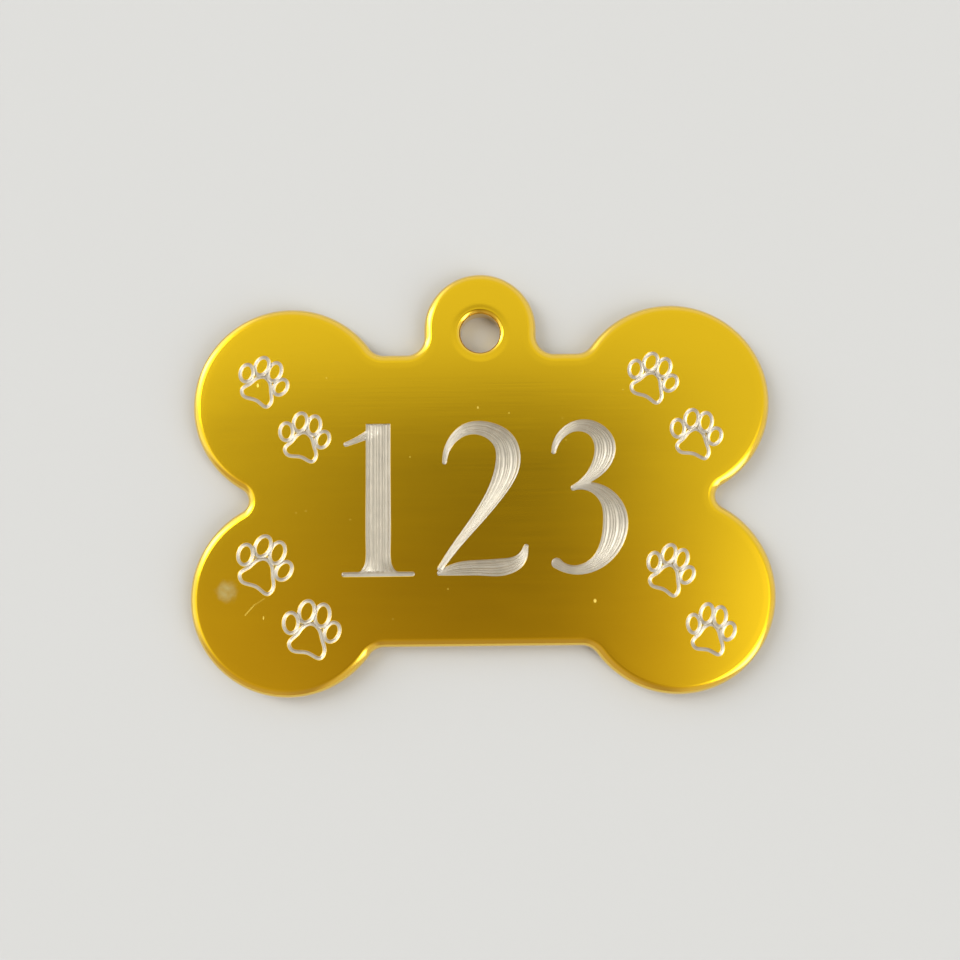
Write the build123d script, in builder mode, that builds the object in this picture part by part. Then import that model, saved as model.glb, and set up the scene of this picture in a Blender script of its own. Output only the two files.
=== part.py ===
from build123d import *
import os
from math import atan2, degrees, hypot, sqrt

# Bone-shaped pet id tag: a stamped aluminium blank with a dyed anodic film on every surface
# and an engraved front. Sizes are in millimetres. +Z points out of the engraved front and +Y
# to the eyelet. The origin is under the middle of the tag, on the surface that it lies on.

# Outline, measured from the middle of the bone
TAG_WIDTH = 38.1
LOBE_RADIUS = 6.45
LOBE_CENTRE_Y = 6.34
WAIST_HALF_HEIGHT = 9.62
TAB_RADIUS = 3.73
TAB_CENTRE_Y = 11.32
CORNER_RADIUS = 1.2
SIDE_NOTCH_RADIUS = 0.82

# Section, and the eyelet, which lies a little below the middle of its tab. The tumbled bands
# are how far in from an edge the tumbling has smoothed the brushed face
THICKNESS = 1.5
RIM_RADIUS = 0.60
RIM_BAND = 1.0
HOLE_CENTRE_Y = 11.0
HOLE_RADIUS = 1.30
HOLE_RIM_RADIUS = 0.30
HOLE_BAND = 0.7
FILM = 0.025

# Engraving, the smallest scrap of film that is left standing between its lines, and the
# widest end of a stroke that the tool leaves round
GROOVE_WIDTH = 0.28
GROOVE_DEPTH = 0.13
SMALLEST_ISLAND = 0.03
WIDEST_ROUND_END = 0.8

# One paw print at full size: each toe's centre, half width, half height and lean in degrees,
# and the points that the pad's line goes through
TOES = (
    (-1.35, 0.29, 0.46, 0.64, 12.0),
    (-0.53, 1.19, 0.47, 0.68, -2.0),
    (0.49, 1.17, 0.46, 0.69, 4.0),
    (1.33, 0.29, 0.45, 0.62, -11.0),
)
PAD_POINTS = (
    (0.00, 0.52),
    (0.57, 0.17),
    (0.85, -0.35),
    (1.14, -1.02),
    (1.00, -1.42),
    (0.15, -1.30),
    (-0.98, -1.28),
    (-1.17, -0.98),
    (-0.83, -0.36),
    (-0.57, 0.15),
)

# The eight paw prints: centre from the middle of the bone, shares of the full width and of the
# full height, and turn in degrees
PAWS = (
    (-14.41, 7.71, 0.915, 0.90, -23.2),
    (-11.64, 3.97, 0.915, 0.90, -12.9),
    (11.27, 7.69, 0.915, 0.90, -23.2),
    (14.06, 3.91, 0.915, 0.90, -12.9),
    (-14.24, -4.35, 1.02, 1.03, -23.2),
    (-11.12, -8.57, 1.02, 1.03, -12.9),
    (12.10, -4.94, 0.85, 0.91, -22.8),
    (14.64, -8.78, 0.85, 0.91, -12.7),
)

# The numerals in the middle: each stroke is a run of points, with the stroke's width at each
ONE_FOOT = ((-8.95, -4.90, 0.34), (-6.75, -4.90, 0.36), (-4.55, -4.90, 0.34))
ONE_STEM = (
    (-6.75, -4.76, 2.50),
    (-6.75, -4.46, 1.94),
    (-6.75, -3.96, 1.68),
    (-6.75, -3.00, 1.65),
    (-6.75, 1.00, 1.65),
    (-6.75, 4.95, 1.65),
)
ONE_FLAG = ((-8.85, 3.62, 0.34), (-8.05, 3.94, 0.46), (-7.00, 4.48, 0.72))
TWO_BOWL = (
    (-2.40, 2.40, 0.34),
    (-2.02, 3.62, 0.50),
    (-1.02, 4.50, 0.80),
    (0.35, 4.52, 1.05),
    (1.50, 3.72, 1.45),
    (1.75, 2.30, 1.60),
    (1.05, 0.55, 1.20),
    (-0.35, -1.45, 0.75),
    (-1.80, -3.25, 0.50),
    (-2.72, -4.55, 0.40),
)
TWO_BASE = (
    (-2.75, -4.86, 0.36),
    (-1.70, -4.62, 0.84),
    (0.00, -4.54, 1.02),
    (1.40, -4.50, 1.10),
    (2.35, -4.15, 0.85),
    (2.85, -3.20, 0.34),
)
THREE_UPPER = (
    (4.75, 3.00, 0.34),
    (5.20, 4.02, 0.50),
    (6.20, 4.66, 0.70),
    (7.40, 4.46, 1.05),
    (8.10, 3.45, 1.40),
    (7.80, 2.15, 1.15),
    (6.95, 1.20, 0.62),
    (6.00, 0.62, 0.36),
)
THREE_LOWER = (
    (6.00, 0.58, 0.36),
    (7.20, 0.62, 0.66),
    (8.25, -0.12, 1.20),
    (8.70, -1.50, 1.65),
    (8.30, -3.20, 1.40),
    (7.20, -4.42, 0.85),
    (5.95, -4.74, 0.60),
    (4.85, -4.30, 0.72),
)
NUMERAL_STROKES = (ONE_FOOT, ONE_STEM, ONE_FLAG, TWO_BOWL, TWO_BASE, THREE_UPPER, THREE_LOWER)

# The middle of the bone and of the eyelet in the part's own frame
LOBE_CENTRE_X = TAG_WIDTH / 2 - LOBE_RADIUS
TAG_TOP = TAB_CENTRE_Y + TAB_RADIUS
TAG_BOTTOM = -LOBE_CENTRE_Y - LOBE_RADIUS
BONE_Y = -(TAG_TOP + TAG_BOTTOM) / 2
HOLE_Y = BONE_Y + HOLE_CENTRE_Y


def level(height):
    """The sketch plane at a height above the table, centred on the middle of the bone."""
    return Plane(origin=(0, BONE_Y, height))


def bone_face(inset):
    """The tag's outline without its hole, drawn in by the same inset all round."""
    lobe = LOBE_RADIUS - inset
    tab = TAB_RADIUS - inset
    waist = WAIST_HALF_HEIGHT - inset
    corner = CORNER_RADIUS + inset
    notch = SIDE_NOTCH_RADIUS + inset

    # Centres of the rounded inner corners, which touch the circles and edges beside them
    corner_y = waist + corner
    corner_drop = LOBE_CENTRE_Y - corner_y
    corner_x = LOBE_CENTRE_X - sqrt((lobe + corner) ** 2 - corner_drop**2)
    notch_x = LOBE_CENTRE_X + sqrt((lobe + notch) ** 2 - LOBE_CENTRE_Y**2)

    # Directions from a corner to its lobe, and from a lobe to the side notch
    to_lobe = degrees(atan2(corner_drop, LOBE_CENTRE_X - corner_x))
    to_notch = degrees(atan2(-LOBE_CENTRE_Y, notch_x - LOBE_CENTRE_X))
    lobe_sweep = to_notch - to_lobe - 180

    with BuildSketch() as bone:
        with BuildLine():
            CenterArc((0, TAB_CENTRE_Y), tab, 0, 90)
            Line((tab, TAB_CENTRE_Y), (tab, corner_y))
            CenterArc((tab + corner, corner_y), corner, 180, 90)
            Line((tab + corner, waist), (corner_x, waist))
            CenterArc((corner_x, corner_y), corner, 270, 90 + to_lobe)
            CenterArc((LOBE_CENTRE_X, LOBE_CENTRE_Y), lobe, to_lobe + 180, lobe_sweep)
            CenterArc((notch_x, 0), notch, to_notch + 180, -2 * to_notch)
            CenterArc((LOBE_CENTRE_X, -LOBE_CENTRE_Y), lobe, -to_notch, lobe_sweep)
            CenterArc((corner_x, -corner_y), corner, -to_lobe, 90 + to_lobe)
            Line((corner_x, -waist), (0, -waist))
            mirror(about=Plane.YZ)
        make_face()
    return bone.sketch


def toe_ring(x, y, half_width, half_height, lean):
    """The engraved line round one toe."""
    with BuildSketch() as ring:
        with Locations(Location((x, y, 0), (0, 0, lean))):
            Ellipse(half_width + GROOVE_WIDTH / 2, half_height + GROOVE_WIDTH / 2)
            Ellipse(half_width - GROOVE_WIDTH / 2, half_height - GROOVE_WIDTH / 2, mode=Mode.SUBTRACT)
    return ring.sketch


def paw_lines(wide, high):
    """The engraved lines of one paw print, upright and centred on its own origin."""
    with BuildSketch() as paw:
        with BuildLine():
            Spline(*[(x * wide, y * high) for x, y in PAD_POINTS], periodic=True)
        trace(line_width=GROOVE_WIDTH)
        for x, y, half_width, half_height, lean in TOES:
            add(toe_ring(x * wide, y * high, half_width * wide, half_height * high, lean))
        islands = [Face(line) for face in paw.faces() for line in face.inner_wires()]
        add([island for island in islands if island.area < SMALLEST_ISLAND])
    return paw.sketch


def stroke_face(stroke):
    """One stroke of a numeral: the band between its two edges, round at its narrow ends."""
    left = []
    right = []
    for index, (x, y, width) in enumerate(stroke):
        before = stroke[max(index - 1, 0)]
        after = stroke[min(index + 1, len(stroke) - 1)]
        run_x = after[0] - before[0]
        run_y = after[1] - before[1]
        share = width / 2 / hypot(run_x, run_y)
        left.append((x - run_y * share, y + run_x * share))
        right.append((x + run_y * share, y - run_x * share))
    with BuildSketch() as band:
        with BuildLine():
            Spline(*left)
            Line(left[-1], right[-1])
            Spline(*reversed(right))
            Line(right[0], left[0])
        make_face()
        for x, y, width in (stroke[0], stroke[-1]):
            if width < WIDEST_ROUND_END:
                with Locations((x, y)):
                    Circle(width / 2)
    return band.sketch


def engraving_faces():
    """All that the engraving tool takes off the front, as one flat sketch."""
    with BuildSketch() as engraving:
        for x, y, wide, high, turn in PAWS:
            with Locations(Location((x, y, 0), (0, 0, turn))):
                add(paw_lines(wide, high))
        for stroke in NUMERAL_STROKES:
            add(stroke_face(stroke))
    return engraving.sketch


def tumbled_blank(inset):
    """The tag's solid with its rim rounded and no hole, drawn in by the same inset all round."""
    with BuildPart() as blank:
        with BuildSketch(level(inset)):
            add(bone_face(inset))
        extrude(amount=THICKNESS - 2 * inset)
        by_height = blank.edges().group_by(Axis.Z)
        fillet(by_height[0] + by_height[-1], RIM_RADIUS - inset)
    return blank.part


def flat_face():
    """The brushed face between the tumbled bands of the rim and of the eyelet."""
    with BuildSketch() as flat:
        add(bone_face(RIM_BAND))
        with Locations((0, HOLE_CENTRE_Y)):
            Circle(HOLE_RADIUS + HOLE_BAND, mode=Mode.SUBTRACT)
    return flat.sketch


os.makedirs("parts", exist_ok=True)
engraving = engraving_faces()

# Stamped blank of bare metal, with its punched eyelet and the grooves in its front
with BuildPart() as aluminium_core:
    add(tumbled_blank(FILM))
    with Locations((0, HOLE_Y, 0)):
        Hole(HOLE_RADIUS + FILM)
    fillet(aluminium_core.edges(Select.LAST).filter_by(GeomType.CIRCLE), HOLE_RIM_RADIUS - FILM)
    with BuildSketch(level(THICKNESS - FILM)):
        add(engraving)
    extrude(amount=FILM - GROOVE_DEPTH, mode=Mode.SUBTRACT)
aluminium_core.part.label = "aluminium_core"
export_step(aluminium_core.part, "parts/aluminium_core.step")

# Film on the brushed front, open where the engraving goes through it
with BuildPart() as front_film:
    with BuildSketch(level(THICKNESS)):
        add(flat_face())
        add(engraving, mode=Mode.SUBTRACT)
    extrude(amount=-FILM)
front_film.part.label = "front_film"
export_step(front_film.part, "parts/front_film.step")

# Film on the brushed back
with BuildPart() as back_film:
    with BuildSketch(level(0)):
        add(flat_face())
    extrude(amount=FILM)
back_film.part.label = "back_film"
export_step(back_film.part, "parts/back_film.step")

# Film round the tumbled rim, from the edge of the brushed front to that of the brushed back
with BuildPart() as edge_film:
    add(tumbled_blank(0))
    add(tumbled_blank(FILM), mode=Mode.SUBTRACT)
    with BuildSketch(level(0)):
        add(bone_face(RIM_BAND))
    extrude(amount=THICKNESS, mode=Mode.SUBTRACT)
edge_film.part.label = "edge_film"
export_step(edge_film.part, "parts/edge_film.step")

# Film lining the eyelet: a section beside the eyelet's axis, turned about it
lining_outer = HOLE_RADIUS + HOLE_BAND
lining_round = HOLE_RADIUS + HOLE_RIM_RADIUS
lining_back = HOLE_RADIUS + FILM
upper_round = THICKNESS - HOLE_RIM_RADIUS
with BuildPart() as hole_film:
    with BuildSketch(Plane.XZ.offset(-HOLE_Y)):
        with BuildLine():
            Polyline((lining_round, 0), (lining_outer, 0), (lining_outer, FILM), (lining_round, FILM))
            CenterArc((lining_round, HOLE_RIM_RADIUS), HOLE_RIM_RADIUS - FILM, 270, -90)
            Line((lining_back, HOLE_RIM_RADIUS), (lining_back, upper_round))
            CenterArc((lining_round, upper_round), HOLE_RIM_RADIUS - FILM, 180, -90)
            Polyline(
                (lining_round, THICKNESS - FILM),
                (lining_outer, THICKNESS - FILM),
                (lining_outer, THICKNESS),
                (lining_round, THICKNESS),
            )
            CenterArc((lining_round, upper_round), HOLE_RIM_RADIUS, 90, 90)
            Line((HOLE_RADIUS, upper_round), (HOLE_RADIUS, HOLE_RIM_RADIUS))
            CenterArc((lining_round, HOLE_RIM_RADIUS), HOLE_RIM_RADIUS, 180, 90)
        make_face()
    revolve(axis=Axis((0, HOLE_Y, 0), (0, 0, 1)))
hole_film.part.label = "hole_film"
export_step(hole_film.part, "parts/hole_film.step")
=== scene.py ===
from math import atan2, cos, degrees, hypot, pi, radians, sin, sqrt

import bpy
import numpy as np
from bpy.props import FloatProperty, FloatVectorProperty, IntProperty, PointerProperty
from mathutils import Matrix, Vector
from mathutils.kdtree import KDTree


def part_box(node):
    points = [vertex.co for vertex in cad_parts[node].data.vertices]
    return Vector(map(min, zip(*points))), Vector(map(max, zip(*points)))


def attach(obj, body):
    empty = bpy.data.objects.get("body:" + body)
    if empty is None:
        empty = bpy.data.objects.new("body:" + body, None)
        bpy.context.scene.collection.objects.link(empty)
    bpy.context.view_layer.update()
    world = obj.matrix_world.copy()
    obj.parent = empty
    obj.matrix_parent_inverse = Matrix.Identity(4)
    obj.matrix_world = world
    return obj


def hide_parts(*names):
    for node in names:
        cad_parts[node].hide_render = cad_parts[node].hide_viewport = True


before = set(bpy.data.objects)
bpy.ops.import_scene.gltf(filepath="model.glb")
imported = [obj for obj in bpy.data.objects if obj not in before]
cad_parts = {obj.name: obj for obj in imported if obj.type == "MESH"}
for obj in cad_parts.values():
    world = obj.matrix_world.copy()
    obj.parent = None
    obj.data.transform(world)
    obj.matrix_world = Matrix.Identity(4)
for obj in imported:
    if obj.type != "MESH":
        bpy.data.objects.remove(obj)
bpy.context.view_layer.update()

bl_info = {
    "name": "Bone Pet Tag",
    "version": (1, 0, 0),
    "blender": (4, 5, 0),
    "location": "View3D > Sidebar > Pet Tag",
    "description": "Finishes a gold anodised bone tag: brushed film, tumbled rim and cut furrows",
    "category": "Object",
}

MM = 0.001

# The tag's outline, edges, film and engraved pockets in millimetres, as in the solids, with
# places measured from the middle of the bone
LOBE_CENTRE = (12.6, 6.34)
LOBE_RADIUS = 6.45
WAIST_HALF_HEIGHT = 9.62
TAB_CENTRE_Y = 11.32
TAB_RADIUS = 3.73
CORNER_RADIUS = 1.2
SIDE_NOTCH_RADIUS = 0.82
RIM_RADIUS = 0.60
RIM_BAND = 1.0
HOLE_CENTRE_Y = 11.0
HOLE_RADIUS = 1.30
HOLE_RIM_RADIUS = 0.30
HOLE_BAND = 0.7
FILM = 0.025
POCKET_DEPTH = 0.13

# How far the face has fallen where it meets a rounded edge, little at the rim and more at the
# eyelet, and the share of the tumbled band over which it falls
RIM_FALL = 0.003
HOLE_FALL = 0.010
FALL_SHARE = 0.6

# How far a tumbled band reaches under the brushed film beside it, and how far below the face
TUCK = 0.03
TUCK_DROP = 0.002

# How far a furrow's lip is below the face, how far a furrow that another one crosses is above the
# pocket's floor, and how far the ridges between passes are below the face, clear of the film
LIP_DROP = 0.002
CROSSED_RISE = 0.002
RIDGE_DROP = 1.4 * FILM

# How finely the meshes follow their shapes: millimetres between points along arcs, straight edges
# and strokes, the widest turn in degrees from one point of an arc to the next, faces across a
# band, round an edge, where they crowd together at the start, along the film's inner side and
# along half of a stroke's round end, and the millimetres within which points are merged
ARC_STEP = 0.14
ARC_TURN = 4
STRAIGHT_STEP = 0.3
STROKE_STEP = 0.09
BAND_STEPS = 7
ROUND_STEPS = 20
ROUND_CROWDING = 1.4
BACKING_STEPS = 8
CAP_STEPS = 6
MERGE_DISTANCE = 0.0004

# Faces along one toe's line and along the pad's, the points of a pass to each such face and to
# each row of a numeral's faces, and where faces meet across the round bottom of a numeral's
# furrow, in tip radii
TOE_STEPS = 48
PAD_STEPS = 96
POINTS_PER_STEP = 8
POINTS_PER_ROW = 9
BOTTOM_STEPS = (-1.2, -0.5, 0.0, 0.5, 1.2)

# How far the passes of a numeral stray from even spacing, the turn from one to the next, and the
# share of the tool's width that a stroke has to have for a pass to run there
PASS_STRAY = 0.035
PASS_TURN = 2.4
PASS_ROOM = 0.999

# Edges sharper than these, in degrees, stay sharp
EDGE_SMOOTH_ANGLE = 40
FURROW_SMOOTH_ANGLE = 32

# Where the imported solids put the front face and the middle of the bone, in metres
FACE_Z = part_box("front_film")[1].z
HOLE = sum(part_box("hole_film"), Vector()) / 2
BONE_Y = HOLE.y - HOLE_CENTRE_Y * MM

# One paw print at full size, in millimetres: each toe's centre, half width, half height and
# lean in degrees, and the points that the pad's line goes through
TOES = (
    (-1.35, 0.29, 0.46, 0.64, 12.0),
    (-0.53, 1.19, 0.47, 0.68, -2.0),
    (0.49, 1.17, 0.46, 0.69, 4.0),
    (1.33, 0.29, 0.45, 0.62, -11.0),
)
PAD_POINTS = (
    (0.00, 0.52),
    (0.57, 0.17),
    (0.85, -0.35),
    (1.14, -1.02),
    (1.00, -1.42),
    (0.15, -1.30),
    (-0.98, -1.28),
    (-1.17, -0.98),
    (-0.83, -0.36),
    (-0.57, 0.15),
)

# The eight paw prints: centre from the middle of the bone, shares of the full width and of the
# full height, and turn in degrees
PAWS = (
    (-14.41, 7.71, 0.915, 0.90, -23.2),
    (-11.64, 3.97, 0.915, 0.90, -12.9),
    (11.27, 7.69, 0.915, 0.90, -23.2),
    (14.06, 3.91, 0.915, 0.90, -12.9),
    (-14.24, -4.35, 1.02, 1.03, -23.2),
    (-11.12, -8.57, 1.02, 1.03, -12.9),
    (12.10, -4.94, 0.85, 0.91, -22.8),
    (14.64, -8.78, 0.85, 0.91, -12.7),
)

# The numerals: each stroke is a run of points, with the stroke's width at each
ONE_FOOT = ((-8.95, -4.90, 0.34), (-6.75, -4.90, 0.36), (-4.55, -4.90, 0.34))
ONE_STEM = (
    (-6.75, -4.76, 2.50),
    (-6.75, -4.46, 1.94),
    (-6.75, -3.96, 1.68),
    (-6.75, -3.00, 1.65),
    (-6.75, 1.00, 1.65),
    (-6.75, 4.95, 1.65),
)
ONE_FLAG = ((-8.85, 3.62, 0.34), (-8.05, 3.94, 0.46), (-7.00, 4.48, 0.72))
TWO_BOWL = (
    (-2.40, 2.40, 0.34),
    (-2.02, 3.62, 0.50),
    (-1.02, 4.50, 0.80),
    (0.35, 4.52, 1.05),
    (1.50, 3.72, 1.45),
    (1.75, 2.30, 1.60),
    (1.05, 0.55, 1.20),
    (-0.35, -1.45, 0.75),
    (-1.80, -3.25, 0.50),
    (-2.72, -4.55, 0.40),
)
TWO_BASE = (
    (-2.75, -4.86, 0.36),
    (-1.70, -4.62, 0.84),
    (0.00, -4.54, 1.02),
    (1.40, -4.50, 1.10),
    (2.35, -4.15, 0.85),
    (2.85, -3.20, 0.34),
)
THREE_UPPER = (
    (4.75, 3.00, 0.34),
    (5.20, 4.02, 0.50),
    (6.20, 4.66, 0.70),
    (7.40, 4.46, 1.05),
    (8.10, 3.45, 1.40),
    (7.80, 2.15, 1.15),
    (6.95, 1.20, 0.62),
    (6.00, 0.62, 0.36),
)
THREE_LOWER = (
    (6.00, 0.58, 0.36),
    (7.20, 0.62, 0.66),
    (8.25, -0.12, 1.20),
    (8.70, -1.50, 1.65),
    (8.30, -3.20, 1.40),
    (7.20, -4.42, 0.85),
    (5.95, -4.74, 0.60),
    (4.85, -4.30, 0.72),
)
NUMERALS = {
    "numeral_one": (ONE_FOOT, ONE_STEM, ONE_FLAG),
    "numeral_two": (TWO_BOWL, TWO_BASE),
    "numeral_three": (THREE_UPPER, THREE_LOWER),
}
WIDEST_ROUND_END = 0.8

# Marks on the front film: each speck's place, half width, half height and strength, then the
# start, end and strength of each part of the scratch, how far from its line the scratch ends and
# is full, the smudge's place and the radii at which it ends and is full, and their colours. The
# specks and the scratch are dust and dents whose brighter glint is painted in as a paler gold
SPECKS = (
    (-14.69, 7.60, 0.09, 0.19, 1.0),
    (7.26, -6.74, 0.14, 0.18, 1.0),
    (-0.18, 5.96, 0.09, 0.13, 0.7),
    (-2.23, -5.89, 0.09, 0.09, 0.5),
    (-14.17, -7.64, 0.07, 0.18, 0.8),
    (1.86, 5.58, 0.06, 0.10, 0.5),
    (5.36, 5.20, 0.07, 0.06, 0.4),
    (5.57, 3.75, 0.08, 0.06, 0.4),
    (-4.66, 2.74, 0.06, 0.09, 0.5),
    (-8.58, -1.33, 0.09, 0.06, 0.4),
    (-11.46, -0.74, 0.10, 0.06, 0.4),
    (-12.11, -0.86, 0.06, 0.08, 0.4),
    (-5.79, -7.78, 0.08, 0.07, 0.4),
    (6.11, -9.05, 0.07, 0.08, 0.4),
    (9.37, 7.05, 0.09, 0.06, 0.4),
    (-10.16, 8.05, 0.09, 0.06, 0.4),
)
SCRATCH = (
    ((-14.13, -6.40), (-14.72, -6.78), 0.3),
    ((-14.76, -6.79), (-15.35, -7.44), 0.5),
)
SCRATCH_REACH = (0.07, 0.02)
SMUDGE = (-16.6, -5.90, 0.85, 0.3)
# Paler gold of the specks and the scratch: painted glint over real dust and dents
SPECK_DUST_AND_GLINT_COLOR = (1.0, 0.80, 0.20)
SMUDGE_COLOR = (0.84, 0.78, 0.38)

# The clear oxide over the dye, and how much darker and paler than their colours the dye and the
# cut metal can be
CLEAR_FILM = {"Coat_Roughness": 0.15, "Coat_IOR": 1.76}
DYE_RANGE = (0.92, 1.08)
CUT_RANGE = (0.86, 1.08)

# Lumps per metre in the dye, the smudge, the tumbled film and, broad and fine, the cut metal
DYE_LUMPS = 320.0
SMUDGE_LUMPS = 1900.0
TUMBLED_LUMPS = 9000.0
CUT_BROAD_LUMPS = 1600.0
CUT_FINE_LUMPS = 16000.0

# How far brushing, tumbling and cutting leave the metal uneven, in millimetres
BRUSH_RELIEF = 0.0009
TUMBLED_RELIEF = 0.0004
CUT_RELIEF = 0.004

# How far below the face the look of the rim starts and is full, in millimetres, and where a
# furrow's wall turns from bare to dyed, in shares of the film's thickness
STEEP_DEPTHS = (0.006, 0.06)
DYED_DEPTHS = (0.9, 0.4)

# How far the waist counts as running on into the lobes when distances from the rim are worked out
WAIST_OVERLAP = 0.6

# Where the middle of an upright light panel is and how far it reaches up and down, as the level
# part of a direction of length 1, and the bearing in degrees and half width of each panel
PANEL_MIDDLE = 0.71
PANEL_REACH = 0.38
WINDOW_PANEL = (151, 0.22)
LAMP_PANEL = (-35, 0.24)

# The colours of dim and of bright light, overhead and at the near side
DIM_LIGHT = (1.0, 0.88, 0.70)
NEAR_DIM_LIGHT = (1.0, 0.75, 0.50)
BRIGHT_LIGHT = (1.0, 1.0, 1.0)
NEAR_BRIGHT_LIGHT = (1.0, 0.85, 0.70)

# The floor's size in metres, how far it is below the tag in millimetres, so that their faces don't
# meet, and its roughness
FLOOR_SIZE = 6.0
FLOOR_GAP = 0.005
FLOOR_ROUGHNESS = 0.9


class TagFilmSettings(bpy.types.PropertyGroup):
    """Look of the dyed anodic film."""

    color: FloatVectorProperty(
        name="Film Color", description="Gold that the dyed film gives the metal",
        subtype="COLOR", size=3, min=0.0, max=1.0, default=(0.86, 0.55, 0.004))
    roughness: FloatProperty(
        name="Face Roughness", description="Mean roughness of the brushed flats",
        subtype="FACTOR", min=0.0, max=1.0, default=0.15)
    rim_roughness: FloatProperty(
        name="Rim Roughness", description="Mean roughness of the tumbled edges",
        subtype="FACTOR", min=0.0, max=1.0, default=0.16)
    gloss: FloatProperty(
        name="Face Gloss", description="How much the clear surface of the brushed film reflects",
        subtype="FACTOR", min=0.0, max=1.0, default=0.15)
    rim_gloss: FloatProperty(
        name="Rim Gloss", description="How much the clear surface of the tumbled film reflects",
        subtype="FACTOR", min=0.0, max=1.0, default=1.0)
    brush_pitch: FloatProperty(
        name="Brush Pitch", description="Distance between brushed lines",
        unit="LENGTH", min=0.01 * MM, default=0.16 * MM)


class TagFurrowSettings(bpy.types.PropertyGroup):
    """Shape and look of the engraved furrows."""

    color: FloatVectorProperty(
        name="Metal Color", description="Bare aluminium where the tool has cut",
        subtype="COLOR", size=3, min=0.0, max=1.0, default=(0.52, 0.48, 0.395))
    roughness: FloatProperty(
        name="Cut Roughness", description="Mean roughness of the cut metal",
        subtype="FACTOR", min=0.0, max=1.0, default=0.50)
    width: FloatProperty(
        name="Furrow Width", description="Width of one pass of the tool at the surface",
        unit="LENGTH", min=0.01 * MM, default=0.28 * MM)
    depth: FloatProperty(
        name="Furrow Depth", description="Depth of one pass of the tool in a numeral",
        unit="LENGTH", min=0.0, default=0.115 * MM)
    line_depth: FloatProperty(
        name="Line Depth", description="Depth of the single line of a paw print",
        unit="LENGTH", min=0.0, default=0.085 * MM)
    # Painted light: a single line's cut metal is painted brighter than the same metal in the numerals,
    # standing in for its brighter glints and lesser shade
    line_painted_light_gain: FloatProperty(
        name="Line Gain", description="How much brighter a single line is than hatched metal",
        min=0.0, default=1.08)
    tip: FloatProperty(
        name="Tip Radius", description="Half the width of the round bottom that the tool's tip leaves",
        unit="LENGTH", min=0.0, default=0.018 * MM)
    pitch: FloatProperty(
        name="Pass Pitch", description="Distance between passes across a wide stroke",
        unit="LENGTH", min=0.01 * MM, default=0.21 * MM)
    across: IntProperty(
        name="Steps Across", description="Faces across one furrow of a paw print",
        min=2, default=12)


class TagStageSettings(bpy.types.PropertyGroup):
    """Floor, light and camera."""

    floor_color: FloatVectorProperty(
        name="Floor Color", description="Pale floor that the tag lies on",
        subtype="COLOR", size=3, min=0.0, max=1.0, default=(0.51, 0.52, 0.515))
    overhead: FloatProperty(
        name="Overhead Light", description="Brightness of the studio straight above",
        min=0.0, default=0.20)
    far_side: FloatProperty(
        name="Far Light", description="Added brightness beyond the eyelet", min=0.0, default=0.69)
    near_side: FloatProperty(
        name="Near Light", description="Added brightness on the camera's side", min=0.0, default=0.11)
    left_side: FloatProperty(
        name="Left Light", description="Added brightness at the left", min=0.0, default=0.39)
    right_side: FloatProperty(
        name="Right Light", description="Added brightness at the right", min=0.0, default=0.67)
    window: FloatProperty(
        name="Window", description="Brightness of the window at the far left", min=0.0, default=6.0)
    wall: FloatProperty(
        name="Lit Wall", description="Brightness of the wall below the window", min=0.0, default=0.7)
    glow: FloatProperty(
        name="Glow", description="Brightness that the lamp spreads above it", min=0.0, default=0.80)
    lamp: FloatProperty(
        name="Lamp", description="Brightness of the lamp at the near right", min=0.0, default=5.0)
    lens: FloatProperty(
        name="Lens", description="Focal length of the camera", subtype="DISTANCE_CAMERA",
        default=41.25)
    camera_place: FloatVectorProperty(
        name="Camera Place", description="Where the camera stands", subtype="TRANSLATION", size=3,
        default=(0.478 * MM, -7.148 * MM, 72.976 * MM))
    camera_turn: FloatVectorProperty(
        name="Camera Turn", description="Turn of the camera about Z, then Y, then X",
        subtype="EULER", size=3, default=(radians(5.745), radians(0.453), radians(-0.611)))


class Field:
    """A value that varies over a surface: a node's output that takes part in expressions."""

    def __init__(self, nodes, socket):
        self.nodes = nodes
        self.socket = socket

    def math(self, operation, *values):
        return self.nodes.add("Math", {"operation": operation}, dict(enumerate(values)))[0]

    def __add__(self, other):
        return self.math("ADD", self, other)

    def __sub__(self, other):
        return self.math("SUBTRACT", self, other)

    def __rsub__(self, other):
        return self.math("SUBTRACT", other, self)

    def __mul__(self, other):
        return self.math("MULTIPLY", self, other)

    def __truediv__(self, other):
        return self.math("DIVIDE", self, other)

    def __abs__(self):
        return self.math("ABSOLUTE", self)

    __radd__ = __add__
    __rmul__ = __mul__

    def most(self, other):
        return self.math("MAXIMUM", self, other)

    def least(self, other):
        return self.math("MINIMUM", self, other)

    def distance(self, other):
        """How far a pair of fields is from the origin."""
        return self.math("SQRT", self * self + other * other)

    def ramp(self, start, end):
        """0 on the side of start, 1 on the side of end, smooth between."""
        sockets = {"Value": self, "From Min": start, "From Max": end}
        return self.nodes.add("MapRange", {"interpolation_type": "SMOOTHSTEP"}, sockets)[0]


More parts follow.
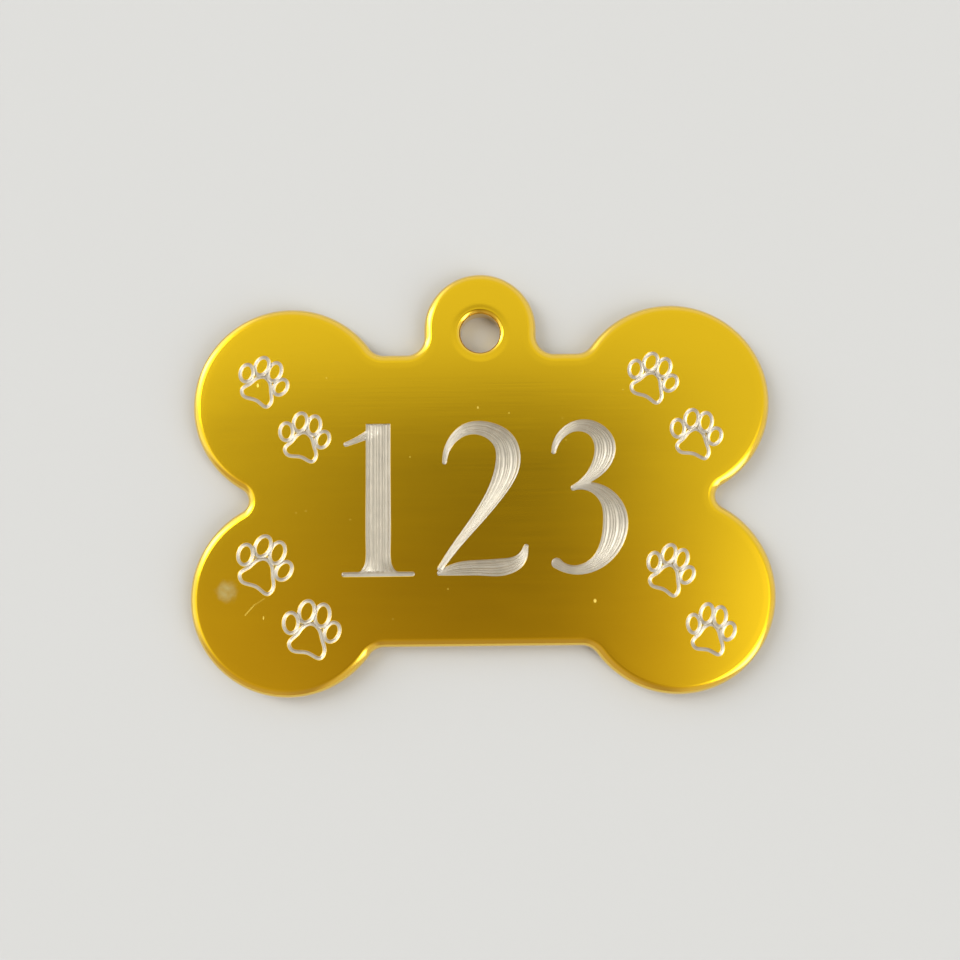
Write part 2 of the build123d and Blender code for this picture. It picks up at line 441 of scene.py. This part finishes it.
class Nodes:
    """A node tree, each of whose nodes is added by one method."""

    def __init__(self, owner):
        owner.use_nodes = True
        self.owner = owner
        self.tree = owner.node_tree
        self.tree.nodes.clear()

    def add(self, kind, settings, sockets):
        """Adds a shader node and returns its outputs as fields, by number and by name."""
        node = self.tree.nodes.new("ShaderNode" + kind)
        for key, value in settings.items():
            setattr(node, key, value)
        for key, value in sockets.items():
            if isinstance(value, Field):
                self.tree.links.new(value.socket, node.inputs[key])
            else:
                node.inputs[key].default_value = value
        outputs = {}
        for index, socket in enumerate(node.outputs):
            outputs[index] = Field(self, socket)
            outputs.setdefault(socket.name, outputs[index])
        return outputs

    def split(self, vector):
        """The X, Y and Z of a vector."""
        parts = self.add("SeparateXYZ", {}, {0: vector})
        return parts[0], parts[1], parts[2]

    def mix(self, share, first, second):
        """A colour between two colours."""
        return self.add("Mix", {"data_type": "RGBA"}, {0: share, 6: first, 7: second})[2]


class Finish(Nodes):
    """A material."""

    def __init__(self, name):
        super().__init__(bpy.data.materials.new(name))
        self.place = self.add("TexCoord", {}, {})["Object"]

    def in_millimetres(self):
        """The place on the tag, in millimetres from the middle of the bone and up from the floor."""
        x, y, z = self.split(self.place)
        return x * 1000.0, (y - BONE_Y) * 1000.0, z * 1000.0

    def noise(self, scale, detail=2.0, roughness=0.5, stretch=(1.0, 1.0, 1.0)):
        """Noise with a number of lumps per metre, drawn out along axes whose stretch is under 1."""
        place = self.add("Mapping", {}, {"Vector": self.place, "Scale": stretch})[0]
        sockets = {"Vector": place, "Scale": scale, "Detail": detail, "Roughness": roughness}
        return self.add("TexNoise", {}, sockets)[0]

    def bump(self, height, distance):
        """A surface normal that a height of 1 raises by a distance in metres."""
        return self.add("Bump", {}, {"Height": height, "Distance": distance})[0]

    def close(self, **sockets):
        """Ends the material in a shader with these sockets."""
        named = {name.replace("_", " "): value for name, value in sockets.items()}
        shader = self.add("BsdfPrincipled", {}, named)[0]
        self.add("OutputMaterial", {}, {"Surface": shader})
        return self.owner


def rgba(color, gain=1.0):
    """A colour as the four numbers that a socket takes, brightened by a gain."""
    return tuple(min(channel * gain, 1.0) for channel in color) + (1.0,)


def rim_distance(x, y):
    """About how far inside the tag's outline a place is, in millimetres."""
    lobe = LOBE_RADIUS - (abs(x) - LOBE_CENTRE[0]).distance(abs(y) - LOBE_CENTRE[1])
    waist = (WAIST_HALF_HEIGHT - abs(y)).least(LOBE_CENTRE[0] + WAIST_OVERLAP - abs(x))
    tab = TAB_RADIUS - x.distance(y - TAB_CENTRE_Y)
    return lobe.most(waist).most(tab)


def segment_distance(x, y, start, end):
    """How far a place is from a straight line between two points."""
    run_x, run_y = end[0] - start[0], end[1] - start[1]
    along = ((x - start[0]) * run_x + (y - start[1]) * run_y) / (run_x**2 + run_y**2)
    along = along.most(0.0).least(1.0)
    return (x - start[0] - along * run_x).distance(y - start[1] - along * run_y)


def film_marks_and_glint(x, y):
    """How strong the specks and the scratch are at a place, both as real dust and dents and as painted
    glint.
    """
    marks_and_glint = None
    for speck_x, speck_y, half_width, half_height, strength in SPECKS:
        spot = ((x - speck_x) / half_width).distance((y - speck_y) / half_height)
        spot = spot.ramp(1.0, 0.3) * strength
        marks_and_glint = spot if marks_and_glint is None else marks_and_glint.most(spot)
    for start, end, strength in SCRATCH:
        marks_and_glint = marks_and_glint.most(segment_distance(x, y, start, end).ramp(*SCRATCH_REACH) * strength)
    return marks_and_glint


def uneven_dye(finish):
    """Broad clouds in the dye, drawn out along X, about 0."""
    return finish.noise(DYE_LUMPS, detail=3.0, stretch=(0.45, 1.0, 1.0)) - 0.5


def dye_color(finish, settings, tone):
    """The film's colour, from its darkest at a tone of 0 to its palest at 1."""
    dark, pale = (rgba(settings.color, gain) for gain in DYE_RANGE)
    return finish.mix(tone, dark, pale)


def brushed_gold(name, settings, marked):
    """Dyed film over metal brushed along X; the brushing fades where tumbling has reached."""
    finish = Finish(name)
    x, y = finish.in_millimetres()[:2]
    kept = rim_distance(x, y).ramp(RIM_BAND, 2 * RIM_BAND)
    lines = 1.0 / settings.brush_pitch
    brush = (finish.noise(lines, detail=3.0, roughness=0.6, stretch=(0.02, 1.0, 1.0)) - 0.5) * kept
    broad = uneven_dye(finish)
    color = dye_color(finish, settings, brush * 0.12 + broad * 0.3 + 0.5)
    roughness = settings.roughness + brush * 0.05 + broad * 0.04
    if marked:
        marks_and_glint = film_marks_and_glint(x, y)
        smudge_x, smudge_y, edge, full = SMUDGE
        patchy = finish.noise(SMUDGE_LUMPS, detail=2.0) - 0.5
        smudge = (x - smudge_x).distance(y - smudge_y) + patchy * 0.9
        smudge = smudge.ramp(edge, full) * (patchy * 1.1 + 0.6)
        color = finish.mix(smudge, color, rgba(SMUDGE_COLOR))
        # Painted glint: the specks and the scratch, real dust and dents, are painted a paler gold for
        # the light they catch
        color = finish.mix(marks_and_glint * 0.8, color, rgba(SPECK_DUST_AND_GLINT_COLOR))
        roughness = roughness + marks_and_glint * 0.3 + smudge * 0.1
    normal = finish.bump(brush, BRUSH_RELIEF * MM)
    return finish.close(
        Base_Color=color, Metallic=1.0, Roughness=roughness, Normal=normal,
        Coat_Weight=settings.gloss, **CLEAR_FILM)


def tumbled_gold(settings):
    """Dyed film over metal that tumbling has rounded and smoothed."""
    finish = Finish("tumbled_gold")
    z = finish.in_millimetres()[2]
    half = FACE_Z / MM / 2
    steep = abs(z - half).ramp(*(half - depth for depth in STEEP_DEPTHS))
    broad = uneven_dye(finish)
    fine = (finish.noise(TUMBLED_LUMPS, detail=2.0) - 0.5) * steep
    color = dye_color(finish, settings, broad * 0.3 + 0.5)
    roughness = settings.roughness + (settings.rim_roughness - settings.roughness) * steep + broad * 0.04
    gloss = settings.gloss + (settings.rim_gloss - settings.gloss) * steep
    normal = finish.bump(fine, TUMBLED_RELIEF * MM)
    return finish.close(
        Base_Color=color, Metallic=1.0, Roughness=roughness, Normal=normal,
        Coat_Weight=gloss, **CLEAR_FILM)


def bright_cut(name, settings, film, gain):
    """Bare metal as the engraving tool leaves it, below the cut edge of the dyed film; a gain over 1
    paints it brighter, as painted light.
    """
    finish = Finish(name)
    z = finish.in_millimetres()[2]
    broad = finish.noise(CUT_BROAD_LUMPS, detail=3.0) - 0.5
    fine = finish.noise(CUT_FINE_LUMPS, detail=3.0) - 0.5
    # A gain over 1 paints the metal lighter than it is: painted light for the single lines of the paw
    # prints
    dark, pale = (rgba(settings.color, share * gain) for share in CUT_RANGE)
    color = finish.mix(broad * 1.4 + 0.5, dark, pale)
    dyed = z.ramp(*(FACE_Z / MM - share * FILM for share in DYED_DEPTHS))
    color = finish.mix(dyed, color, rgba(film.color))
    roughness = settings.roughness + fine * 0.25
    normal = finish.bump(fine, CUT_RELIEF * MM)
    return finish.close(Base_Color=color, Metallic=1.0, Roughness=roughness, Normal=normal)


def dress(obj, material):
    """Gives an object one material."""
    obj.data.materials.clear()
    obj.data.materials.append(material)


def settle(piece, material):
    """Makes a mesh a piece of the tag, with its finish."""
    dress(piece, material)
    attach(piece, "root")


def deselect():
    """Leaves edit mode and selects nothing."""
    if bpy.context.object and bpy.context.object.mode != "OBJECT":
        bpy.ops.object.mode_set(mode="OBJECT")
    bpy.ops.object.select_all(action="DESELECT")


def on_tag(points):
    """Places in millimetres from the middle of the bone, as metres in the tag's frame."""
    return np.array(points) * MM + (0.0, BONE_Y)


def skin(points):
    """Adds a mesh of quads through rows of points; sections and ends that meet are merged."""
    deselect()
    rows, columns = points.shape[:2]
    bpy.ops.mesh.primitive_grid_add(x_subdivisions=columns - 1, y_subdivisions=rows - 1)
    mesh = bpy.context.object
    mesh.data.vertices.foreach_set("co", np.ascontiguousarray(points, np.float32).ravel())
    bpy.ops.object.mode_set(mode="EDIT")
    bpy.ops.mesh.select_all(action="SELECT")
    bpy.ops.mesh.remove_doubles(threshold=MERGE_DISTANCE * MM)
    bpy.ops.mesh.normals_make_consistent(inside=False)
    bpy.ops.object.mode_set(mode="OBJECT")
    return mesh


def join(meshes, name, angle):
    """Joins meshes into one piece, smooth but for edges sharper than an angle in degrees."""
    deselect()
    for mesh in meshes:
        mesh.select_set(True)
    piece = meshes[0]
    bpy.context.view_layer.objects.active = piece
    if len(meshes) > 1:
        bpy.ops.object.join()
    piece.name = name
    piece.data.name = name
    bpy.ops.object.shade_smooth_by_angle(angle=radians(angle))
    return piece


def arc(centre, radius, start, sweep, bulge):
    """Points along an arc, with the way out of the metal at each; bulge is -1 in a hollow."""
    steps = max(round(radians(abs(sweep)) * radius / ARC_STEP), round(abs(sweep) / ARC_TURN))
    turn = np.radians(start + sweep * np.arange(steps) / steps)
    out = np.stack([np.cos(turn), np.sin(turn)], axis=1)
    return np.array(centre) + out * radius, out * bulge


def straight(start, end, out):
    """Points along a straight edge, with the way out of the metal at each."""
    steps = round(hypot(end[0] - start[0], end[1] - start[1]) / STRAIGHT_STEP)
    share = np.arange(steps)[:, None] / steps
    return np.array(start) + share * np.subtract(end, start), np.tile(out, (steps, 1))


def bone_outline():
    """The tag's outline in millimetres, with the way out of the metal at each point."""
    lobe_x, lobe_y = LOBE_CENTRE
    corner_y = WAIST_HALF_HEIGHT + CORNER_RADIUS
    drop = lobe_y - corner_y
    corner_x = lobe_x - sqrt((LOBE_RADIUS + CORNER_RADIUS) ** 2 - drop**2)
    notch_x = lobe_x + sqrt((LOBE_RADIUS + SIDE_NOTCH_RADIUS) ** 2 - lobe_y**2)
    to_lobe = degrees(atan2(drop, lobe_x - corner_x))
    to_notch = degrees(atan2(-lobe_y, notch_x - lobe_x))
    sweep = to_notch - to_lobe - 180
    tab_foot = TAB_RADIUS + CORNER_RADIUS
    runs = (
        arc((0, TAB_CENTRE_Y), TAB_RADIUS, 90, -90, 1),
        straight((TAB_RADIUS, TAB_CENTRE_Y), (TAB_RADIUS, corner_y), (1, 0)),
        arc((tab_foot, corner_y), CORNER_RADIUS, 180, 90, -1),
        straight((tab_foot, WAIST_HALF_HEIGHT), (corner_x, WAIST_HALF_HEIGHT), (0, 1)),
        arc((corner_x, corner_y), CORNER_RADIUS, 270, 90 + to_lobe, -1),
        arc((lobe_x, lobe_y), LOBE_RADIUS, to_lobe + 180, sweep, 1),
        arc((notch_x, 0), SIDE_NOTCH_RADIUS, to_notch + 180, -2 * to_notch, -1),
        arc((lobe_x, -lobe_y), LOBE_RADIUS, -to_notch, sweep, 1),
        arc((corner_x, -corner_y), CORNER_RADIUS, -to_lobe, 90 + to_lobe, -1),
        straight((corner_x, -WAIST_HALF_HEIGHT), (0, -WAIST_HALF_HEIGHT), (0, -1)),
    )
    points = np.vstack([run[0] for run in runs] + [(0, -WAIST_HALF_HEIGHT)])
    ways = np.vstack([run[1] for run in runs] + [(0, -1)])
    mirror = np.array((-1, 1))
    return np.vstack([points, points[-2::-1] * mirror]), np.vstack([ways, ways[-2::-1] * mirror])


def rounded_edge(points, ways, radius, band, fall):
    """Adds the film over a rounded edge and the band beside it, as a thin closed strip all round."""
    thickness = FACE_Z / MM
    turns = np.radians(90 * np.linspace(0, 1, ROUND_STEPS + 1) ** ROUND_CROWDING)
    flat = np.linspace(band, radius, BAND_STEPS + 1)[:-1]
    inset = np.concatenate([flat, radius - radius * np.sin(turns)])
    drop = np.concatenate([np.zeros(BAND_STEPS), radius - radius * np.cos(turns)])
    share = np.clip((band - inset) / (FALL_SHARE * band), 0, 1)
    drop += fall * share * share * (3 - 2 * share)
    tucked = ((band + TUCK, TUCK_DROP), (band, TUCK_DROP))
    outer = np.vstack([tucked, np.stack([inset, drop], axis=1)]) * (1, -1) + (0, thickness)
    turns = np.linspace(0, pi / 2, BACKING_STEPS + 1)
    inner = radius - (radius - FILM) * np.stack([np.sin(turns), np.cos(turns)], axis=1)
    inner = np.vstack([(band + TUCK, FILM), inner]) * (1, -1) + (0, thickness)
    section = [np.vstack([front, (front * (1, -1) + (0, thickness))[::-1]]) for front in (outer, inner)]
    section = np.vstack([section[0], section[1][::-1], section[0][:1]])
    places = points[:, None] - ways[:, None] * section[None, :, :1]
    high = np.broadcast_to(section[None, :, 1:] * MM, places.shape[:2] + (1,))
    return skin(np.concatenate([on_tag(places), high], axis=2))


def spline(points, closed, count):
    """Points along the smooth curve through a run of points."""
    knots = np.array(points, float)
    if closed:
        knots = np.vstack([knots, knots[:1]])
    steps = np.linalg.norm(np.diff(knots, axis=0), axis=1)
    place = np.concatenate([[0.0], np.cumsum(steps)])
    slopes = np.diff(knots, axis=0) / steps[:, None]
    size = len(knots)
    matrix = np.zeros((size, size))
    target = np.zeros_like(knots)
    for index in range(1, size - 1):
        before, after = steps[index - 1], steps[index]
        matrix[index, index - 1:index + 2] = after, 2 * (before + after), before
        target[index] = 3 * (after * slopes[index - 1] + before * slopes[index])
    if closed:
        before, after = steps[-1], steps[0]
        matrix[0, 0], matrix[0, 1], matrix[0, -2] = 2 * (before + after), before, after
        target[0] = 3 * (after * slopes[-1] + before * slopes[0])
        matrix[-1, 0], matrix[-1, -1] = 1.0, -1.0
    else:
        matrix[0, 0] = matrix[-1, -1] = 1.0
        share = steps[0] / (steps[0] + steps[1])
        target[0] = slopes[0] - share * (slopes[1] - slopes[0])
        share = steps[-1] / (steps[-1] + steps[-2])
        target[-1] = slopes[-1] + share * (slopes[-1] - slopes[-2])
    tangents = np.linalg.solve(matrix, target)
    at = np.linspace(0.0, place[-1], count)
    span = np.clip(np.searchsorted(place, at, side="right") - 1, 0, size - 2)
    length = steps[span][:, None]
    share = ((at - place[span]) / steps[span])[:, None]
    rise = share * share * (3 - 2 * share)
    start = share * (1 - share) ** 2 * length
    end = share * share * (share - 1) * length
    moved = knots[span] + (knots[span + 1] - knots[span]) * rise
    return moved + tangents[span] * start + tangents[span + 1] * end


def toe_line(x, y, half_width, half_height, lean, count):
    """The line round one toe, closed on itself."""
    turn = np.linspace(0.0, 2 * pi, count)
    wide = half_width * np.cos(turn)
    high = half_height * np.sin(turn)
    lean = radians(lean)
    across = x + wide * cos(lean) - high * sin(lean)
    return np.stack([across, y + wide * sin(lean) + high * cos(lean)], axis=1)


def ring_edges(line, width):
    """The two edges of an engraved line that closes on itself."""
    run = np.roll(line[:-1], -1, axis=0) - np.roll(line[:-1], 1, axis=0)
    side = np.stack([-run[:, 1], run[:, 0]], axis=1)
    side *= width / 2 / np.linalg.norm(run, axis=1)[:, None]
    side = np.vstack([side, side[:1]])
    return line + side, line - side


def stroke_edges(stroke):
    """The two edges of a numeral's stroke, with a round or a square end at either end."""
    left = []
    right = []
    for index, (x, y, width) in enumerate(stroke):
        before = stroke[max(index - 1, 0)]
        after = stroke[min(index + 1, len(stroke) - 1)]
        run = Vector((after[0] - before[0], after[1] - before[1])).normalized() * (width / 2)
        left.append((x - run.y, y + run.x))
        right.append((x + run.y, y - run.x))
    length = sum(hypot(b[0] - a[0], b[1] - a[1]) for a, b in zip(stroke, stroke[1:]))
    count = round(length / STROKE_STEP)
    left = spline(left, False, count)
    right = spline(right, False, count)
    start = end_cap(right[0], left[0])
    end = end_cap(left[-1], right[-1])
    return np.vstack([start[1][::-1], left, end[0]]), np.vstack([start[0][::-1], right, end[1]])


def end_cap(left, right):
    """What closes a stroke beyond its last two edge points."""
    middle = (left + right) / 2
    half = (left - right) / 2
    if 2 * np.linalg.norm(half) >= WIDEST_ROUND_END:
        return middle[None], middle[None]
    ahead = np.array((half[1], -half[0]))
    turn = np.radians(np.linspace(0, 90, CAP_STEPS + 1)[1:])[:, None]
    reach = middle + ahead * np.sin(turn)
    return reach + half * np.cos(turn), reach - half * np.cos(turn)


def inside(places, loop):
    """Which places lie inside a closed loop of points."""
    x, y = places[:, :1], places[:, 1:]
    (x0, y0), (x1, y1) = loop.T, np.roll(loop, -1, axis=0).T
    spans = (y0 > y) != (y1 > y)
    reach = x0 + (y - y0) / np.where(y1 == y0, 1.0, y1 - y0) * (x1 - x0)
    return (spans & (x < reach)).sum(axis=1) % 2 == 1


class Engraving:
    """The furrows of one paw print or numeral, cut into one floor of metal."""

    def __init__(self, settings, depth):
        self.settings = settings
        self.depth = depth
        self.passes = []
        self.bands = []

    def line(self, points):
        """Adds the run of one pass of the tool, in metres."""
        self.passes.append(points)

    def band(self, left, right, shares, closed):
        """Adds the ground between two edges; shares say where the faces across it meet."""
        self.bands.append((left, right, np.asarray(shares), closed))

    def cut(self, name):
        """Makes the metal: every place as low as the V of the nearest pass leaves it."""
        samples = np.vstack(self.passes)
        tree = KDTree(len(samples))
        for index, (x, y) in enumerate(samples):
            tree.insert((x, y, 0.0), index)
        tree.balance()
        depth, tip = self.depth, self.settings.tip
        slope = depth / (hypot(self.settings.width / 2, tip) - tip)
        lip = FACE_Z - LIP_DROP * MM
        ridge = FACE_Z - RIDGE_DROP * MM
        floor = FACE_Z - POCKET_DEPTH * MM
        loops = []
        meshes = []
        for left, right, shares, closed in self.bands:
            flat = left[:, None] + (right - left)[:, None] * shares[:, :, None]
            places = flat.reshape(-1, 2)
            away = np.array([tree.find((x, y, 0.0))[2] for x, y in places])
            height = np.minimum(lip, FACE_Z - depth + slope * (np.hypot(away, tip) - tip))
            if not closed:
                between = np.zeros(shares.shape, bool)
                between[:, 1:-1] = True
                between = between.ravel()
                height[between] = np.minimum(height[between], ridge)
            taken = np.zeros(len(places), bool)
            for loop_set in loops:
                taken |= np.logical_xor.reduce([inside(places, loop) for loop in loop_set])
            height[taken] = floor + CROSSED_RISE * MM
            top = np.concatenate([flat, height.reshape(shares.shape)[:, :, None]], axis=2)
            under = np.stack([top[:, -1], top[:, 0]], axis=1)
            under[:, :, 2] = floor
            meshes.append(skin(np.concatenate([top, under, top[:, :1]], axis=1)))
            loops.append((left, right) if closed else (np.vstack([left, right[::-1]]),))
        return join(meshes, name, FURROW_SMOOTH_ANGLE)


class TAG_OT_film(bpy.types.Operator):
    """Finish the film on the two flats"""

    bl_idname = "tag.film"
    bl_label = "Finish Film"

    def execute(self, context):
        settings = context.scene.tag_film
        dress(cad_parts["front_film"], brushed_gold("brushed_gold_front", settings, True))
        dress(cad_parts["back_film"], brushed_gold("brushed_gold_back", settings, False))
        return {"FINISHED"}


class TAG_OT_edges(bpy.types.Operator):
    """Make the film over the tumbled rim and over the edge of the eyelet"""

    bl_idname = "tag.edges"
    bl_label = "Make Rounded Edges"

    def execute(self, context):
        material = tumbled_gold(context.scene.tag_film)
        points, ways = bone_outline()
        rim = rounded_edge(points, ways, RIM_RADIUS, RIM_BAND, RIM_FALL)
        rim = join([rim], "rim_band", EDGE_SMOOTH_ANGLE)
        settle(rim, material)
        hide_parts("edge_film")
        points, ways = arc((0, HOLE_CENTRE_Y), HOLE_RADIUS, 0, 360, -1)
        points, ways = np.vstack([points, points[:1]]), np.vstack([ways, ways[:1]])
        eyelet = rounded_edge(points, ways, HOLE_RIM_RADIUS, HOLE_BAND, HOLE_FALL)
        eyelet = join([eyelet], "eyelet_band", EDGE_SMOOTH_ANGLE)
        settle(eyelet, material)
        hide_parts("hole_film")
        return {"FINISHED"}


class TAG_OT_paw_prints(bpy.types.Operator):
    """Cut the furrows of the eight paw prints"""

    bl_idname = "tag.paw_prints"
    bl_label = "Cut Paw Prints"

    def execute(self, context):
        settings = context.scene.tag_furrow
        # The paw prints' lines get the cut metal painted brighter by the line gain: painted light
        material = bright_cut("cut_line_painted_lighter", settings, context.scene.tag_film, settings.line_painted_light_gain)
        shares = np.linspace(0.0, 1.0, settings.across + 1)
        for number, (x, y, wide, high, turn) in enumerate(PAWS, 1):
            turn = radians(turn)
            spin = np.array(((cos(turn), sin(turn)), (-sin(turn), cos(turn))))
            shape = (wide, high, wide, high, 1.0)
            paw = Engraving(settings, settings.line_depth)
            toe_points = TOE_STEPS * POINTS_PER_STEP + 1
            pad_points = PAD_STEPS * POINTS_PER_STEP + 1
            loops = [toe_line(*np.multiply(toe, shape), toe_points) for toe in TOES]
            loops.append(spline(np.multiply(PAD_POINTS, (wide, high)), True, pad_points))
            for loop in loops:
                line = on_tag(loop @ spin + (x, y))
                paw.line(line)
                left, right = ring_edges(line[::POINTS_PER_STEP], settings.width)
                paw.band(left, right, np.tile(shares, (len(left), 1)), True)
            settle(paw.cut(f"paw_print_{number}"), material)
        return {"FINISHED"}


class TAG_OT_numerals(bpy.types.Operator):
    """Cut the furrows of the numerals, pass beside pass"""

    bl_idname = "tag.numerals"
    bl_label = "Cut Numerals"

    def execute(self, context):
        settings = context.scene.tag_furrow
        material = bright_cut("bright_cut", settings, context.scene.tag_film, 1.0)
        dress(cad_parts["aluminium_core"], material)
        for name, strokes in NUMERALS.items():
            numeral = Engraving(settings, settings.depth)
            for stroke in strokes:
                left, right = (on_tag(edge) for edge in stroke_edges(stroke))
                widths = np.linalg.norm(right - left, axis=1)
                half = np.minimum(settings.width / 2, widths / 2)
                spare = widths.max() - settings.width
                order = np.linspace(0.0, 1.0, 1 + round(spare / settings.pitch))
                order[1:-1] += PASS_STRAY * np.sin(PASS_TURN * np.arange(1, len(order) - 1))
                reach = half + (widths - 2 * half) * order[:, None]
                valleys = (reach / np.where(widths == 0.0, 1.0, widths)).T
                for share in valleys.T:
                    line = left + (right - left) * share[:, None]
                    kept = widths >= settings.width * PASS_ROOM
                    numeral.line(spline(line[kept], False, kept.sum() * POINTS_PER_ROW))
                ridges = (valleys[:, 1:] + valleys[:, :-1]) / 2
                edge = np.zeros((len(left), 1))
                beside = settings.tip / np.maximum(widths, settings.width)[:, None]
                bottoms = [valleys + beside * step for step in BOTTOM_STEPS]
                shares = np.clip(np.hstack([edge, *bottoms, ridges, edge + 1.0]), 0.0, 1.0)
                numeral.band(left, right, np.sort(shares, axis=1), False)
            settle(numeral.cut(name), material)
        return {"FINISHED"}


def panel(x, y, bearing, half_width):
    """1 in the directions of an upright panel that reaches from high up to the floor, 0 elsewhere."""
    turn = radians(bearing)
    along = x * cos(turn) + y * sin(turn) - PANEL_MIDDLE
    across = y * cos(turn) - x * sin(turn)
    return (along / PANEL_REACH).distance(across / half_width).ramp(1.0, 0.5)


def light_studio(settings):
    """Lights a studio that is dim and warm overhead and brighter at its walls, window and lamp."""
    world = bpy.data.worlds.new("studio")
    nodes = Nodes(world)
    # The parts of a direction to the right and away from the camera
    x, y = nodes.split(nodes.add("TexCoord", {}, {})["Generated"])[:2]
    far = y.ramp(0.14, 0.23)
    near = y.ramp(0.12, -0.05)
    low = y.ramp(-0.2, -0.45)
    sides = (
        (y.ramp(0.06, -0.13) + low * 1.2) * settings.near_side
        + x.ramp(0.07, -0.36) * (1.0 - near * 0.16) * (1.0 - low * 0.5) * settings.left_side
        + x.ramp(0.02, 0.28) * (1.05 - near * 0.17) * (1.0 - low * 0.5) * settings.right_side
    )
    room = settings.overhead + far * settings.far_side + (1.0 - far) * sides
    glow = x.ramp(0.16, 0.34) * x.ramp(0.70, 0.40) * y.ramp(0.12, 0.0) * (1.0 - low) * settings.glow
    wall = x.ramp(-0.34, -0.60) * y.ramp(-0.45, -0.10) * settings.wall
    window = panel(x, y, *WINDOW_PANEL) * settings.window
    lamp = panel(x, y, *LAMP_PANEL) * settings.lamp
    level = room + glow + wall + window + lamp
    dim = nodes.mix(near, rgba(DIM_LIGHT), rgba(NEAR_DIM_LIGHT))
    lit = nodes.mix(near * level.ramp(1.0, 0.6), rgba(BRIGHT_LIGHT), rgba(NEAR_BRIGHT_LIGHT))
    tint = nodes.mix(level.ramp(0.2, 0.8), dim, lit)
    sky = nodes.add("Background", {}, {"Color": tint, "Strength": level})[0]
    nodes.add("OutputWorld", {}, {"Surface": sky})
    bpy.context.scene.world = world


class TAG_OT_stage(bpy.types.Operator):
    """Lay the floor, light the studio and set the camera"""

    bl_idname = "tag.stage"
    bl_label = "Set Stage"

    def execute(self, context):
        settings = context.scene.tag_stage
        deselect()
        bpy.ops.mesh.primitive_plane_add(size=FLOOR_SIZE, location=(0, 0, -FLOOR_GAP * MM))
        floor = context.object
        floor.name = "floor"
        finish = Finish("pale_floor")
        dress(floor, finish.close(Base_Color=rgba(settings.floor_color), Roughness=FLOOR_ROUGHNESS))
        light_studio(settings)
        lens = bpy.data.cameras.new("camera")
        lens.lens = settings.lens
        lens.clip_start = 1.0 * MM
        camera = bpy.data.objects.new("camera", lens)
        context.scene.collection.objects.link(camera)
        camera.location = settings.camera_place
        camera.rotation_mode = "ZYX"
        camera.rotation_euler = settings.camera_turn
        context.scene.camera = camera
        context.scene.view_settings.view_transform = "Standard"
        return {"FINISHED"}


STEPS = (TAG_OT_film, TAG_OT_edges, TAG_OT_paw_prints, TAG_OT_numerals, TAG_OT_stage)


class TAG_PT_steps(bpy.types.Panel):
    """Lists the steps that finish the tag, with their settings"""

    bl_label = "Pet Tag"
    bl_idname = "TAG_PT_steps"
    bl_space_type = "VIEW_3D"
    bl_region_type = "UI"
    bl_category = "Pet Tag"

    def draw(self, context):
        for step in STEPS:
            self.layout.operator(step.bl_idname)
        for group in (context.scene.tag_film, context.scene.tag_furrow, context.scene.tag_stage):
            box = self.layout.box()
            for name in group.bl_rna.properties.keys():
                if name not in ("rna_type", "name"):
                    box.prop(group, name)


CLASSES = (TagFilmSettings, TagFurrowSettings, TagStageSettings) + STEPS + (TAG_PT_steps,)


def register():
    for cls in CLASSES:
        bpy.utils.register_class(cls)
    bpy.types.Scene.tag_film = PointerProperty(type=TagFilmSettings)
    bpy.types.Scene.tag_furrow = PointerProperty(type=TagFurrowSettings)
    bpy.types.Scene.tag_stage = PointerProperty(type=TagStageSettings)


def unregister():
    del bpy.types.Scene.tag_stage
    del bpy.types.Scene.tag_furrow
    del bpy.types.Scene.tag_film
    for cls in reversed(CLASSES):
        bpy.utils.unregister_class(cls)


def main():
    register()
    bpy.ops.tag.film()
    bpy.ops.tag.edges()
    bpy.ops.tag.paw_prints()
    bpy.ops.tag.numerals()
    bpy.ops.tag.stage()


if __name__ == "__main__":
    main()
